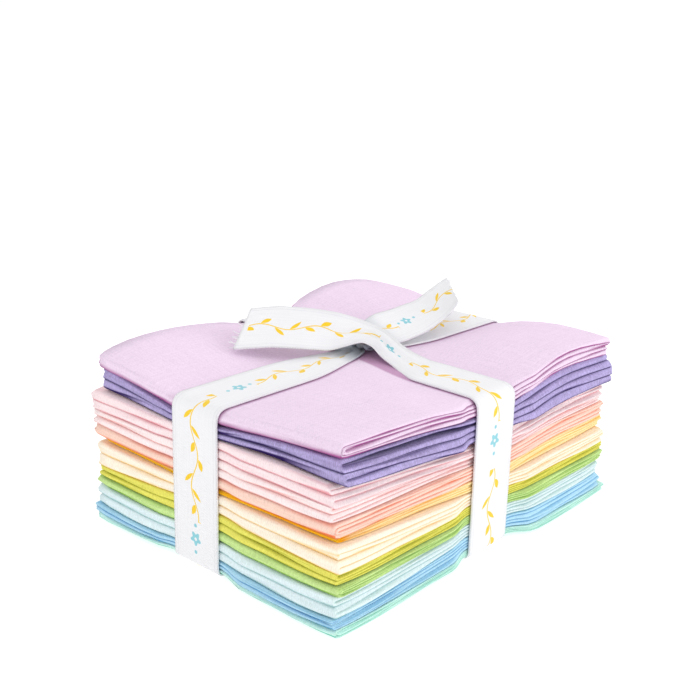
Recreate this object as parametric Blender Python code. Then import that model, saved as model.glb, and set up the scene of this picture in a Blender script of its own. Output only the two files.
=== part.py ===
"""A tied stack of twelve fat quarters: folded quilting cottons with one tape around them.

Metres, +Z up. The origin is at the middle of the stack's footprint, on the surface it rests on.
The fold loops of the cloths face -X and +X, and their layered ends face -Y and +Y.
Each cloth is one back-and-forth section of four layers, swept from its front edge to its back edge.
"""
import math
from collections import namedtuple

import bmesh
import bpy
from mathutils import Vector

MM = 0.001

# Driving sizes of the stack
WIDTH = 148.0 * MM            # fold side to fold side, along X
DEPTH = 111.0 * MM            # layered end to layered end, along Y
LAYERS = 4                    # layers of each folded cloth, four plies each
LAYER_GAP = 0.1 * MM          # air between the layers of one cloth
CLOTH_GAP = 0.3 * MM          # air between two cloths
LOOP_STEPS = 5                # flat steps around a fold loop

# The tape and where it crosses the stack
TAPE_WIDTH = 20.5 * MM
TAPE_THICK = 1.0 * MM
TAPE_GAP = 0.35 * MM          # air between the tape and the cloth under it
TAPE_X = 1.0 * MM             # middle of the run over the layered ends
TAPE_Y = 4.0 * MM             # middle of the run over the fold loops
VALLEY = 12.0 * MM            # half width of the trough that the tape presses
PRESSED = 12.1 * MM           # stations within this distance of the tape are pressed in
FACE_PRESS = 1.0 * MM         # how far the tape presses the faces in
LIP_ROUND = 2.5 * MM          # how far the tape rounds the top cloth's edges
TOP_BEND = 3.0 * MM           # bend of the tape's middle over the top edges
FOOT_BEND = 1.0 * MM          # bend of the tape's middle around the bottom edges
BEND_STEPS = 4

# How the tape and the knot shape the stack
DIP = 0.5 * MM                # top of the stack under the tape, below its mean height
CROWNS = {                    # crown of each quarter of the top: at -X or +X, at -Y or +Y
    ("left", "front"): 1.7 * MM,
    ("left", "back"): 2.3 * MM,
    ("right", "front"): 6.3 * MM,
    ("right", "back"): 6.5 * MM,
}
CROWN_FULL_X = 46.0 * MM      # distances from the tape where a crown is full
CROWN_FULL_Y = 42.0 * MM
BACK_RISE = 4.0 * MM          # how much higher the top is at its back edge
SIDE_FALL_RIGHT = 2.2 * MM    # fall of the top towards the fold loops at +X
CORNER_FALL = 0.6 * MM        # droop of the top corners
RISE = TAPE_THICK + TAPE_GAP  # lift of the underside over one run of tape
CROWN_DEPTH = 2               # how fast the crown fades with depth, as a power
RISE_DEPTH = 3                # and how fast the lift fades with height

# Stations where every cloth has a row of points, so that neighbours follow each other
CREST_X = 35.0 * MM           # half way up a crown, measured from the tape
CREST_Y = 26.0 * MM
FLOOR_X = 59.0 * MM           # where the underside meets the floor again, from the tape
FLOOR_Y = 45.0 * MM
OUTER_X = 78.0 * MM
OUTER_Y = 60.0 * MM
GRID_X = (-OUTER_X, TAPE_X - FLOOR_X, TAPE_X - CREST_X, TAPE_X - VALLEY,
          TAPE_X + VALLEY, TAPE_X + CREST_X, TAPE_X + FLOOR_X, OUTER_X)
GRID_Y = (-OUTER_Y, TAPE_Y - FLOOR_Y, TAPE_Y - CREST_Y, TAPE_Y - VALLEY,
          TAPE_Y + VALLEY, TAPE_Y + CREST_Y, TAPE_Y + FLOOR_Y, OUTER_Y)

# One row for each cloth, from the top down, in millimetres.
# folded: "zigzag" shows two loops at -X, "book" shows one loop around the other.
# inside, folds, ends, corner: its thickness in the middle, at -X, at both Y ends, and where they meet.
# left, right, front, back: how far it stands out past the stack's mean faces.
# fan: how much further its lower layers stand out at the front; skew: extra front at +X.
# loose: extra air between it and the cloth below.
Cloth = namedtuple(
    "Cloth", "name colour folded inside folds ends corner left right front back fan skew loose")
CLOTHS = (
    Cloth("lilac", (0.80, 0.62, 0.80), "book", 4.9, 4.9, 5.9, 4.8, 0.0, -1.0, 0.8, -1.5, 0.0, 0.0, 0.4),
    Cloth("violet", (0.42, 0.36, 0.70), "zigzag", 4.7, 4.4, 9.0, 7.4, -1.0, 2.4, -0.8, -2.0, 3.4, 0.0, 0.2),
    Cloth("pink", (0.92, 0.62, 0.64), "zigzag", 4.6, 6.3, 4.7, 6.2, 0.8, 0.0, -3.2, 2.4, 3.0, 1.0, 0.0),
    Cloth("pale_pink", (0.93, 0.76, 0.76), "zigzag", 4.6, 6.3, 3.0, 5.1, 0.4, 0.0, -2.2, 2.0, 0.6, 1.0, 0.0),
    Cloth("peach", (0.94, 0.48, 0.38), "book", 4.7, 4.1, 5.1, 4.4, 0.4, 1.4, -0.8, 1.8, 0.4, 0.0, 0.1),
    Cloth("yellow", (0.95, 0.66, 0.16), "book", 4.6, 1.7, 4.2, 1.7, -5.0, 1.8, -1.2, -2.4, 0.0, 0.0, 0.3),
    Cloth("cream", (0.95, 0.80, 0.54), "zigzag", 4.8, 6.6, 4.8, 8.5, 0.0, 1.4, 0.6, 1.0, 0.4, 0.0, 0.0),
    Cloth("lime", (0.74, 0.74, 0.12), "zigzag", 4.5, 5.9, 3.3, 4.0, -0.2, 1.4, 0.2, 0.6, 0.0, 0.4, 0.0),
    Cloth("green", (0.40, 0.72, 0.20), "book", 4.5, 4.0, 3.2, 2.9, 0.2, 0.6, 1.2, 1.4, 0.0, 0.4, 0.0),
    Cloth("aqua", (0.66, 0.82, 0.84), "zigzag", 4.7, 6.8, 4.7, 7.1, 0.2, -1.4, -0.8, 1.4, 1.4, 1.6, 0.0),
    Cloth("blue", (0.30, 0.60, 0.86), "zigzag", 4.6, 2.4, 5.0, 2.7, 0.4, -0.8, -0.8, 1.8, 1.8, 2.4, 0.1),
    Cloth("mint", (0.44, 0.82, 0.66), "book", 4.5, 1.9, 2.4, 2.7, -3.0, 1.2, -0.4, -1.6, 0.4, 4.0, 0.0),
)
TAPE_COLOUR = (0.90, 0.90, 0.93)

# The knot: middle, and half its length, breadth and height, in millimetres
KNOT_MIDDLE = (3.0, 3.0, 60.0)
KNOT_HALF = (11.0, 8.5, 4.6)
KNOT_TURN = -35.0             # degrees about Z
KNOT_REACH = 5.0 * MM         # where the runs end inside it
GATHER_ENDS = 0.45            # share of its width to which a run is gathered in the knot
GATHER_REACH = 26.0 * MM      # where it is full width again
KNOT_LIFT = 1.6 * MM          # rise of the upper run into the knot

# The two free tails, from the knot outwards, in millimetres.
# x, y, z: middle of the tape; ax, ay, az: direction across it; width: its width there.
Station = namedtuple("Station", "x y z ax ay az width")
LEFT_TAIL = (
    Station(1.0, 4.5, 60.5, 0.60, 0.30, 0.74, 7.0),
    Station(-6.0, 9.0, 62.8, 0.64, 0.42, 0.64, 14.0),
    Station(-13.0, 15.0, 64.6, 0.68, 0.52, 0.52, 19.5),
    Station(-21.0, 23.0, 65.2, 0.69, 0.55, 0.46, 20.5),
    Station(-30.0, 31.0, 64.6, 0.60, 0.62, 0.50, 21.5),
)
RIGHT_TAIL = (
    Station(8.0, 3.0, 60.4, 0.10, 0.96, 0.10, 10.0),
    Station(17.0, 3.5, 60.3, 0.05, 0.99, 0.05, 16.0),
    Station(29.0, 4.0, 60.6, 0.10, 0.99, -0.05, 19.0),
    Station(42.0, 4.0, 63.2, 0.35, 0.93, -0.05, 21.5),
    Station(55.5, 4.0, 69.0, 0.68, 0.72, 0.10, 27.0),
)


def clamp(value, low=0.0, high=1.0):
    return max(low, min(high, value))


def smooth(value):
    """Ease from 0 to 1."""
    value = clamp(value)
    return value * value * (3.0 - 2.0 * value)


def slope(distance, full, most=1.0):
    """0 over the strip that a run of tape holds level, then rising evenly to 1."""
    return clamp((distance - VALLEY) / (full - VALLEY), 0.0, most)


def bulge(distance, full):
    """0 over the level strip, swelling fast beside it and easing into 1."""
    return 1.0 - (1.0 - slope(distance, full)) ** 2


def thickness(cloth, x, y):
    """Thickness of one folded cloth at a place, from its four sizes."""
    to_folds = slope(TAPE_X - x, TAPE_X + WIDTH / 2, 1.1)
    to_end_face = DEPTH / 2 + (TAPE_Y if y < TAPE_Y else -TAPE_Y)
    to_ends = slope(abs(y - TAPE_Y), to_end_face, 1.1)
    along_middle = cloth.inside + (cloth.folds - cloth.inside) * to_folds
    along_front = cloth.ends + (cloth.corner - cloth.ends) * to_folds
    return (along_middle + (along_front - along_middle) * to_ends) * MM


def boundary_heights(x, y):
    """Heights of the thirteen surfaces that part the cloths, from the floor up, at a place."""
    heights = [0.0]
    for cloth in reversed(CLOTHS):
        heights.append(heights[-1] + thickness(cloth, x, y))
    side = abs(x) / (WIDTH / 2)
    end = abs(y) / (DEPTH / 2)
    full = CROWNS["left" if x < TAPE_X else "right", "front" if y < TAPE_Y else "back"]
    free_y = bulge(abs(y - TAPE_Y), CROWN_FULL_Y)
    crown = (full + DIP) * bulge(abs(x - TAPE_X), CROWN_FULL_X) * free_y - DIP
    backwards = smooth(slope(y - TAPE_Y, DEPTH / 2 - TAPE_Y))
    crown += BACK_RISE * backwards * max(0.0, 1.0 - side ** 6)
    if x > TAPE_X:
        crown -= SIDE_FALL_RIGHT * side ** 4 * free_y
    crown -= CORNER_FALL * min(1.0, side * end) ** 8
    under_x = 1.0 - slope(abs(x - TAPE_X), FLOOR_X)
    under_y = 1.0 - slope(abs(y - TAPE_Y), FLOOR_Y)
    lift = RISE * (under_x + under_y)
    total = heights[-1]
    shaped = []
    for height in heights:
        share = height / total
        shaped.append(height + crown * share ** CROWN_DEPTH + lift * (1.0 - share) ** RISE_DEPTH)
    return shaped


HEIGHT_GRID = [[boundary_heights(x, y) for y in GRID_Y] for x in GRID_X]


def cell(lines, value):
    """The grid interval that a value falls in, and how far along it."""
    index = 0
    while index < len(lines) - 2 and value > lines[index + 1]:
        index += 1
    return index, (value - lines[index]) / (lines[index + 1] - lines[index])


def surface(number, x, y):
    """Height of one parting surface, straight between the grid's lines."""
    i, u = cell(GRID_X, x)
    j, v = cell(GRID_Y, y)
    near = HEIGHT_GRID[i][j][number] * (1 - u) + HEIGHT_GRID[i + 1][j][number] * u
    far = HEIGHT_GRID[i][j + 1][number] * (1 - u) + HEIGHT_GRID[i + 1][j + 1][number] * u
    return near * (1 - v) + far * v


def fold_route(folded):
    """Order in which the layers follow each other, from the lowest layer's free end."""
    return (0, 1, 2, 3) if folded == "zigzag" else (0, 3, 2, 1)


def section(cloth):
    """The folded section: pairs of points, one on each side of the cloth.

    A point is (kind, x, height, out): a column of the grid, or a place around a loop at the
    left or right, where out is how far the point stands past the end of the straight layers.
    Heights run from 0 at the bottom of the cloth to 1 at its top.
    """
    full = cloth.inside * MM - CLOTH_GAP
    layer = (full - (LAYERS - 1) * LAYER_GAP) / LAYERS
    middle = [layer / 2 + number * (layer + LAYER_GAP) for number in range(LAYERS)]
    columns = GRID_X[1:-1]
    pairs = []
    route = fold_route(cloth.folded)
    towards_left = True
    for step, number in enumerate(route):
        places = [("right", 0.0)] + [("column", x) for x in reversed(columns)] + [("left", 0.0)]
        low, high = middle[number] - layer / 2, middle[number] + layer / 2
        side_a, side_b = low, high
        if not towards_left:
            places.reverse()
            side_a, side_b = high, low
        for kind, x in places:
            pairs.append(((kind, x, side_a / full), (kind, x, side_b / full)))
        if step + 1 < LAYERS:
            pairs += loop_pairs(middle[number], middle[route[step + 1]], layer, full, towards_left)
        towards_left = not towards_left
    return pairs


def loop_pairs(start, finish, layer, full, at_left):
    """Points around one fold, between the layers at heights start and finish."""
    centre = (start + finish) / 2
    reach = abs(finish - start) / 2
    upwards = 1.0 if finish > start else -1.0
    first_side_outside = at_left == (finish > start)
    pairs = []
    for step in range(1, LOOP_STEPS):
        angle = math.pi * step / LOOP_STEPS
        points = []
        for outside in (first_side_outside, not first_side_outside):
            radius = reach + (layer / 2 if outside else -layer / 2)
            if radius < layer / 2:
                angle_used = 0.0 if step * 2 < LOOP_STEPS else math.pi
            else:
                angle_used = angle
            height = centre - upwards * radius * math.cos(angle_used)
            out = radius * math.sin(angle_used)
            points.append(("left" if at_left else "right", out, height / full))
        pairs.append(tuple(points))
    return pairs


def lip(cloth, height):
    """How far the tape draws the top cloth's edge in as it rounds over it."""
    return LIP_ROUND * height ** 3 if cloth is CLOTHS[0] else 0.0


def front_edge(cloth, x, height):
    out = cloth.front + cloth.fan * (1.0 - height) + cloth.skew * clamp(x / (WIDTH / 2), 0.0, 1.0)
    if abs(x - TAPE_X) < PRESSED:
        return -DEPTH / 2 + FACE_PRESS + lip(cloth, height)
    return -DEPTH / 2 - out * MM


def back_edge(cloth, x, height):
    if abs(x - TAPE_X) < PRESSED:
        return DEPTH / 2 - FACE_PRESS - lip(cloth, height)
    return DEPTH / 2 + cloth.back * MM


def side_edge(cloth, y, at_left):
    """X of the tip of the fold loops at one side."""
    pressed = abs(y - TAPE_Y) < PRESSED
    sign = -1.0 if at_left else 1.0
    out = cloth.left if at_left else cloth.right
    out = min(out * MM, -FACE_PRESS) if pressed else out * MM
    return sign * (WIDTH / 2 + out)


def place(point, row, cloth, number, gap_above):
    """World position of a section point on one row from front to back."""
    kind, value, height = point
    loop = (cloth.inside * MM - CLOTH_GAP) / 2 if cloth.folded == "book" else cloth.inside * MM / 4
    y = GRID_Y[row]
    if kind == "column":
        x = value
    else:
        at_left = kind == "left"
        tip = side_edge(cloth, clamp(y, -DEPTH / 2, DEPTH / 2), at_left)
        sign = -1.0 if at_left else 1.0
        x = tip - sign * (loop - value)
    if row == 0:
        y = front_edge(cloth, x, height)
    elif row == len(GRID_Y) - 1:
        y = back_edge(cloth, x, height)
    air = CLOTH_GAP / 2 + cloth.loose * MM if number > 0 else 0.0
    low = surface(number, x, y) + air
    high = surface(number + 1, x, y) - gap_above
    return Vector((x, y, low + (high - low) * height))


def keep_once(corners):
    """The corners of a face with repeats left out, or None where it has closed to a line."""
    kept = list(dict.fromkeys(corners))
    return kept if len(kept) > 2 else None


def split_quad(verts, a, b, c, d):
    """Two triangles whose shared edge always runs from low x and y to high x and y."""
    if verts[a].co.x <= verts[b].co.x:
        return [(a, b, c), (a, c, d)]
    return [(a, b, d), (b, c, d)]


def cloth_mesh(cloth, number):
    """Closed mesh of one folded cloth, swept over the rows of the grid."""
    pairs = section(cloth)
    outline = [pair[0] for pair in pairs] + [pair[1] for pair in reversed(pairs)]
    gap_above = 0.0 if number == len(CLOTHS) - 1 else CLOTH_GAP / 2
    bm = bmesh.new()
    rows = []
    for row in range(len(GRID_Y)):
        made = {}
        indices = []
        for point in outline:
            if point not in made:
                made[point] = bm.verts.new(place(point, row, cloth, number, gap_above))
                bm.verts.index_update()
            indices.append(made[point].index)
        rows.append(indices)
    bm.verts.ensure_lookup_table()
    triangles = []
    count = len(outline)
    for near, far in zip(rows, rows[1:]):
        for i in range(count):
            j = (i + 1) % count
            if near[i] == near[j]:
                continue
            triangles += split_quad(bm.verts, near[i], near[j], far[j], far[i])
    last = len(pairs) - 1
    for indices, flip in ((rows[0], True), (rows[-1], False)):
        for i in range(last):
            corners = keep_once((indices[i], indices[i + 1], indices[-2 - i], indices[-1 - i]))
            if corners:
                triangles.append(tuple(reversed(corners)) if flip else tuple(corners))
    for corners in triangles:
        bm.faces.new([bm.verts[index] for index in corners])
    bmesh.ops.triangulate(bm, faces=bm.faces[:])
    bmesh.ops.recalc_face_normals(bm, faces=bm.faces[:])
    mesh = bpy.data.meshes.new(cloth.name)
    bm.to_mesh(mesh)
    bm.free()
    return mesh


def cloth_material(name, colour, roughness=0.9):
    material = bpy.data.materials.new(name)
    material.use_nodes = True
    shader = material.node_tree.nodes["Principled BSDF"]
    shader.inputs["Base Color"].default_value = (*colour, 1.0)
    shader.inputs["Roughness"].default_value = roughness
    shader.inputs["Metallic"].default_value = 0.0
    return material


def add_footprint_centre():
    """An empty that carries everything, so that the footprint's middle is at the origin."""
    left = max(cloth.left for cloth in CLOTHS)
    right = max(cloth.right for cloth in CLOTHS)
    front = max(cloth.front + cloth.fan + cloth.skew for cloth in CLOTHS)
    back = max(cloth.back for cloth in CLOTHS)
    carrier = bpy.data.objects.new("footprint_centre", None)
    carrier.location = ((left - right) / 2 * MM, (front - back) / 2 * MM, 0.0)
    bpy.context.scene.collection.objects.link(carrier)
    return carrier


def add_object(name, mesh, material, carrier):
    obj = bpy.data.objects.new(name, mesh)
    mesh.materials.append(material)
    bpy.context.scene.collection.objects.link(obj)
    obj.parent = carrier
    return obj


def build_cloths(carrier):
    for order, cloth in enumerate(CLOTHS):
        number = len(CLOTHS) - 1 - order
        material = cloth_material(f"cotton_{cloth.name}", cloth.colour)
        add_object(f"fat_quarter_{order + 1:02d}_{cloth.name}", cloth_mesh(cloth, number), material, carrier)


def strip_mesh(name, stations):
    """A closed flat strip through stations of middle, across, up and width."""
    bm = bmesh.new()
    rings = []
    for middle, across, up, width in stations:
        side = across.normalized() * width / 2
        lift_up = up.normalized() * TAPE_THICK / 2
        corners = (-side - lift_up, side - lift_up, side + lift_up, -side + lift_up)
        rings.append([bm.verts.new(middle + corner) for corner in corners])
    for near, far in zip(rings, rings[1:]):
        for i in range(4):
            j = (i + 1) % 4
            bm.faces.new((near[i], near[j], far[j], far[i]))
    bm.faces.new(list(reversed(rings[0])))
    bm.faces.new(rings[-1])
    bmesh.ops.triangulate(bm, faces=bm.faces[:])
    bmesh.ops.recalc_face_normals(bm, faces=bm.faces[:])
    mesh = bpy.data.meshes.new(name)
    bm.to_mesh(mesh)
    bm.free()
    return mesh


def bend(centre, radius, start, finish):
    """Places and outward directions around a bend, in the plane of a run of tape."""
    bends = []
    for step in range(BEND_STEPS + 1):
        angle = math.radians(start + (finish - start) * step / BEND_STEPS)
        out = (math.cos(angle), math.sin(angle))
        bends.append((centre[0] + radius * out[0], centre[1] + radius * out[1], out))
    return bends


def run_places(half_length, top, near, far, over_other):
    """The route of one run around the stack: along, height and outward direction.

    It leaves the knot towards the low side, passes down, under and up the far side, and comes
    back to the knot. top gives the height of the cloth under the tape at a place along it.
    """
    off = TAPE_GAP + TAPE_THICK / 2
    face = half_length - FACE_PRESS + off
    foot = TAPE_THICK / 2
    up = (0.0, 1.0)
    places = [(place_along, top(place_along) + off, up) for place_along in near]
    corner = top(-half_length) + off
    places += bend((-face + TOP_BEND, corner - TOP_BEND), TOP_BEND, 90.0, 180.0)
    places += bend((-face + FOOT_BEND, foot + FOOT_BEND), FOOT_BEND, 180.0, 270.0)
    places += [(place_along, foot + lifted, (0.0, -1.0)) for place_along, lifted in over_other]
    places += bend((face - FOOT_BEND, foot + FOOT_BEND), FOOT_BEND, 270.0, 360.0)
    corner = top(half_length) + off
    places += bend((face - TOP_BEND, corner - TOP_BEND), TOP_BEND, 0.0, 90.0)
    places += [(place_along, top(place_along) + off, up) for place_along in far]
    return places


def gathered(from_knot, out):
    """Width of a run, drawn together where it goes into the knot on top."""
    if out[1] < 1.0:
        return TAPE_WIDTH
    return TAPE_WIDTH * (GATHER_ENDS + (1.0 - GATHER_ENDS) * smooth(abs(from_knot) / GATHER_REACH))


def run_over_folds():
    """The run of tape across the fold loops, along X."""
    def top(x):
        return surface(len(CLOTHS), x, TAPE_Y)

    near = (TAPE_X - KNOT_REACH, *reversed(GRID_X[1:4]))
    far = (*reversed(GRID_X[4:7]), TAPE_X + KNOT_REACH)
    places = run_places(WIDTH / 2, top, near, far, [])
    across = Vector((0.0, 1.0, 0.0))
    return [(Vector((along, TAPE_Y, height)), across, Vector((out[0], 0.0, out[1])),
             gathered(along - TAPE_X, out)) for along, height, out in places]


def run_over_ends():
    """The run of tape across the layered ends, along Y, over the other run where they cross."""
    def top(y):
        into_knot = clamp(1.0 - abs(y - TAPE_Y) / VALLEY)
        return surface(len(CLOTHS), TAPE_X, y) + KNOT_LIFT * into_knot

    near = (TAPE_Y - KNOT_REACH, *reversed(GRID_Y[1:4]))
    far = (*reversed(GRID_Y[4:7]), TAPE_Y + KNOT_REACH)
    ramp = 2.0 * VALLEY
    bridge = [(TAPE_Y - ramp, 0.0), (TAPE_Y - VALLEY, RISE), (TAPE_Y + VALLEY, RISE), (TAPE_Y + ramp, 0.0)]
    places = run_places(DEPTH / 2, top, near, far, bridge)
    across = Vector((1.0, 0.0, 0.0))
    return [(Vector((TAPE_X, along, height)), across, Vector((0.0, out[0], out[1])),
             gathered(along - TAPE_Y, out)) for along, height, out in places]


def tail_stations(tail):
    """Middle, across, up and width for each station of a tail."""
    middles = [Vector((s.x, s.y, s.z)) * MM for s in tail]
    stations = []
    for number, station in enumerate(tail):
        before = middles[max(0, number - 1)]
        after = middles[min(len(middles) - 1, number + 1)]
        across = Vector((station.ax, station.ay, station.az)).normalized()
        up = (after - before).cross(across)
        if up.z < 0.0:
            up.negate()
        stations.append((middles[number], across, up, station.width * MM))
    return stations


def knot_mesh():
    """A low rounded lump where the tape is tied."""
    bm = bmesh.new()
    bmesh.ops.create_uvsphere(bm, u_segments=14, v_segments=8, radius=1.0)
    turn = math.radians(KNOT_TURN)
    for vert in bm.verts:
        x, y, z = (vert.co[axis] * KNOT_HALF[axis] for axis in range(3))
        turned = (x * math.cos(turn) - y * math.sin(turn), x * math.sin(turn) + y * math.cos(turn), z)
        vert.co = Vector([(turned[axis] + KNOT_MIDDLE[axis]) * MM for axis in range(3)])
    bmesh.ops.triangulate(bm, faces=bm.faces[:])
    mesh = bpy.data.meshes.new("ribbon")
    bm.to_mesh(mesh)
    bm.free()
    return mesh


def build_ribbon(carrier):
    """One tape: two runs and two tails that the knot joins into one body."""
    material = cloth_material("cotton_tape", TAPE_COLOUR, 0.85)
    ribbon = add_object("ribbon", knot_mesh(), material, carrier)
    lengths = {
        "ribbon_run_over_folds": run_over_folds(),
        "ribbon_run_over_ends": run_over_ends(),
        "ribbon_left_tail": tail_stations(LEFT_TAIL),
        "ribbon_right_tail": tail_stations(RIGHT_TAIL),
    }
    for name, stations in lengths.items():
        guide = add_object(name, strip_mesh(name, stations), material, carrier)
        guide.hide_render = True
        guide.display_type = "WIRE"
        join = ribbon.modifiers.new(name, "BOOLEAN")
        join.operation = "UNION"
        join.object = guide


for old in list(bpy.data.objects):
    bpy.data.objects.remove(old)
centre = add_footprint_centre()
build_cloths(centre)
build_ribbon(centre)
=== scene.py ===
# %% [markdown]
# This lesson dresses a tied stack of twelve fat quarters: quilting cottons that are each cut to
# 457 by 572 mm, folded to a neat oblong, piled up and tied both ways with a twill tape.
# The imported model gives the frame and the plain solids. Everything you see is made here, in metres.

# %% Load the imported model
import math
from collections import namedtuple

import bpy
import numpy as np
from mathutils import Matrix, Vector


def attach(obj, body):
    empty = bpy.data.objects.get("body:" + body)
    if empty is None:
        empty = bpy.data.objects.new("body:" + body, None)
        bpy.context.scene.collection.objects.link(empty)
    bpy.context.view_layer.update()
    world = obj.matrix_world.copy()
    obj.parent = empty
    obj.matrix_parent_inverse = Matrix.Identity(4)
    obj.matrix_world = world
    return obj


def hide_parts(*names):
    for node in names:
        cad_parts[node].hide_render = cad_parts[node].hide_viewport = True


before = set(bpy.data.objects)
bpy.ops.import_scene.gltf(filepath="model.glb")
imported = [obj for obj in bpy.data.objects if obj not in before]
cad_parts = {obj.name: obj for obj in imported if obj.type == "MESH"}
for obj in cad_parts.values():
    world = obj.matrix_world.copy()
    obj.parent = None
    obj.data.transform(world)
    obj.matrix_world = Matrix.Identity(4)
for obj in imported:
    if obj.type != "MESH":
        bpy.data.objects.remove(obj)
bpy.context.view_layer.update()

# %% [markdown]
# The stack is described by a few sizes and one row for each cloth. Nearly the same numbers shaped
# the plain solids, so the cloths here take their places. Lengths in the table are in millimetres.
# Where a cloth was pressed, puffed or pushed back in the pile is said by its row and nowhere else.

# %% Sizes of the stack
MM = 0.001
WIDTH = 148.0 * MM
DEPTH = 111.0 * MM
CLOTH_GAP = 0.3 * MM
TAPE_WIDTH = 20.5 * MM
TAPE_X = 1.0 * MM
TAPE_Y = 4.0 * MM
VALLEY = 12.0 * MM
FACE_PRESS = 1.0 * MM
LIP_ROUND = 2.5 * MM
DIP = 0.5 * MM
CROWN_LEFT_FRONT = 1.7 * MM
CROWN_LEFT_BACK = 2.3 * MM
CROWN_RIGHT_FRONT = 6.3 * MM
CROWN_RIGHT_BACK = 6.5 * MM
CROWN_FULL_X = 46.0 * MM
CROWN_FULL_Y = 42.0 * MM
BACK_RISE = 4.0 * MM
SIDE_FALL_RIGHT = 2.2 * MM
CORNER_FALL = 0.6 * MM
RISE = 1.35 * MM
CROWN_DEPTH = 2
RISE_DEPTH = 3
FLOOR_X = 59.0 * MM
FLOOR_Y = 45.0 * MM
FOOTPRINT_SHIFT = Vector((-0.8, 0.8, 0.0)) * MM

# The second colour in each row is painted crease shade: the deeper, darker colour seen inside a fold.
Cloth = namedtuple(
    "Cloth", "name colour crease folded inside folds ends corner left right front back fan skew loose")
CLOTHS = tuple(Cloth(*row) for row in (
    ("lilac", (0.80, 0.65, 0.80), (0.34, 0.08, 0.26), "book",
     4.9, 4.9, 5.9, 4.8, 0.0, -1.0, 0.8, -1.5, 0.0, 0.0, 0.4),
    ("violet", (0.42, 0.36, 0.62), (0.03, 0.015, 0.10), "zigzag",
     4.7, 4.4, 9.0, 7.4, -1.0, 2.4, -0.8, -2.0, 3.4, 0.0, 0.2),
    ("pink", (0.90, 0.74, 0.76), (0.74, 0.28, 0.32), "zigzag",
     4.6, 6.3, 4.7, 6.2, 0.8, 0.0, -3.2, 2.4, 3.0, 1.0, 0.0),
    ("pale_pink", (0.92, 0.79, 0.79), (0.78, 0.36, 0.34), "zigzag",
     4.6, 6.3, 3.0, 5.1, 0.4, 0.0, -2.2, 2.0, 0.6, 1.0, 0.0),
    ("peach", (0.91, 0.65, 0.55), (0.82, 0.17, 0.05), "book",
     4.7, 4.1, 5.1, 4.4, 0.4, 1.4, -0.8, 1.8, 0.4, 0.0, 0.1),
    ("yellow", (0.95, 0.77, 0.42), (0.92, 0.50, 0.02), "book",
     4.6, 1.7, 4.2, 1.7, -1.5, 1.8, -1.2, -2.4, 0.0, 0.0, 0.1),
    ("cream", (0.93, 0.84, 0.70), (0.88, 0.56, 0.16), "zigzag",
     4.8, 6.6, 4.8, 8.5, 0.0, 1.4, 0.6, 1.0, 0.4, 0.0, 0.0),
    ("lime", (0.76, 0.73, 0.14), (0.34, 0.36, 0.01), "zigzag",
     4.5, 5.9, 3.3, 4.0, -0.2, 1.4, 0.2, 0.6, 0.0, 0.4, 0.0),
    ("green", (0.56, 0.76, 0.30), (0.20, 0.40, 0.05), "book",
     4.5, 4.0, 3.2, 2.9, 0.2, 0.6, 1.2, 1.4, 0.0, 0.4, 0.0),
    ("aqua", (0.70, 0.82, 0.85), (0.30, 0.54, 0.52), "zigzag",
     4.7, 6.8, 4.7, 7.1, 0.2, -1.4, -0.8, 1.4, 1.4, 1.6, 0.0),
    ("blue", (0.44, 0.70, 0.86), (0.05, 0.30, 0.58), "zigzag",
     4.6, 2.9, 5.0, 2.7, 1.2, -0.8, -0.6, 2.2, 1.8, 2.4, 0.0),
    ("mint", (0.60, 0.89, 0.80), (0.20, 0.58, 0.46), "book",
     4.5, 1.4, 2.4, 2.7, 1.0, 1.2, 1.2, 1.0, 0.4, 3.0, 0.0),
))

# %% [markdown]
# Nodes are easier to read as sums than as boxes and noodles. This small class wraps one output of
# a node, so that a line such as 1 - mask adds its own Math node. The bench that makes nodes has one
# method for every kind: it takes the kind, its settings, and the values or wires of its sockets.


# %% A bench for making nodes
class Wire:
    """One output of a node, which the signs + - * / work on."""

    def __init__(self, bench, end):
        self.bench = bench
        self.end = end

    def math(self, operation, *others):
        return self.bench.math(operation, self, *others)

    def clamped(self):
        return self.bench.add("ShaderNodeClamp", None, {"Value": self})

    def __add__(self, other):
        return self.bench.math("ADD", self, other)

    __radd__ = __add__

    def __sub__(self, other):
        return self.bench.math("SUBTRACT", self, other)

    def __rsub__(self, other):
        return self.bench.math("SUBTRACT", other, self)

    def __mul__(self, other):
        return self.bench.math("MULTIPLY", self, other)

    __rmul__ = __mul__

    def __truediv__(self, other):
        return self.bench.math("DIVIDE", self, other)


class Bench:
    """Adds nodes to one tree."""

    def __init__(self, tree):
        self.tree = tree
        tree.nodes.clear()

    def add(self, kind, settings=None, values=None, output=0):
        node = self.tree.nodes.new(kind)
        for name, value in (settings or {}).items():
            setattr(node, name, value)
        for socket, value in (values or {}).items():
            if isinstance(value, Wire):
                self.tree.links.new(value.end, node.inputs[socket])
            else:
                node.inputs[socket].default_value = value
        return Wire(self, node.outputs[output]) if node.outputs else node

    def math(self, operation, *values):
        return self.add("ShaderNodeMath", {"operation": operation}, dict(enumerate(values)))

    def other(self, wire, name):
        """Another output of the node that a wire comes from."""
        return Wire(self, wire.end.node.outputs[name])


def new_geometry_tree(name, inputs, output="Geometry"):
    """Start a geometry tree with its named inputs and its output."""
    tree = bpy.data.node_groups.new(name, "GeometryNodeTree")
    for label, kind in inputs:
        tree.interface.new_socket(label, in_out="INPUT", socket_type=f"NodeSocket{kind}")
    tree.interface.new_socket(output, in_out="OUTPUT", socket_type="NodeSocketGeometry")
    return tree, Bench(tree)


def close_tree(bench, geometry, finish):
    """End a tree: turn instances into real faces and give them their finish."""
    real = bench.add("GeometryNodeRealizeInstances", None, {"Geometry": geometry})
    dressed = bench.add("GeometryNodeSetMaterial", None, {"Geometry": real, "Material": finish})
    bench.add("NodeGroupOutput", None, {0: dressed})


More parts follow.
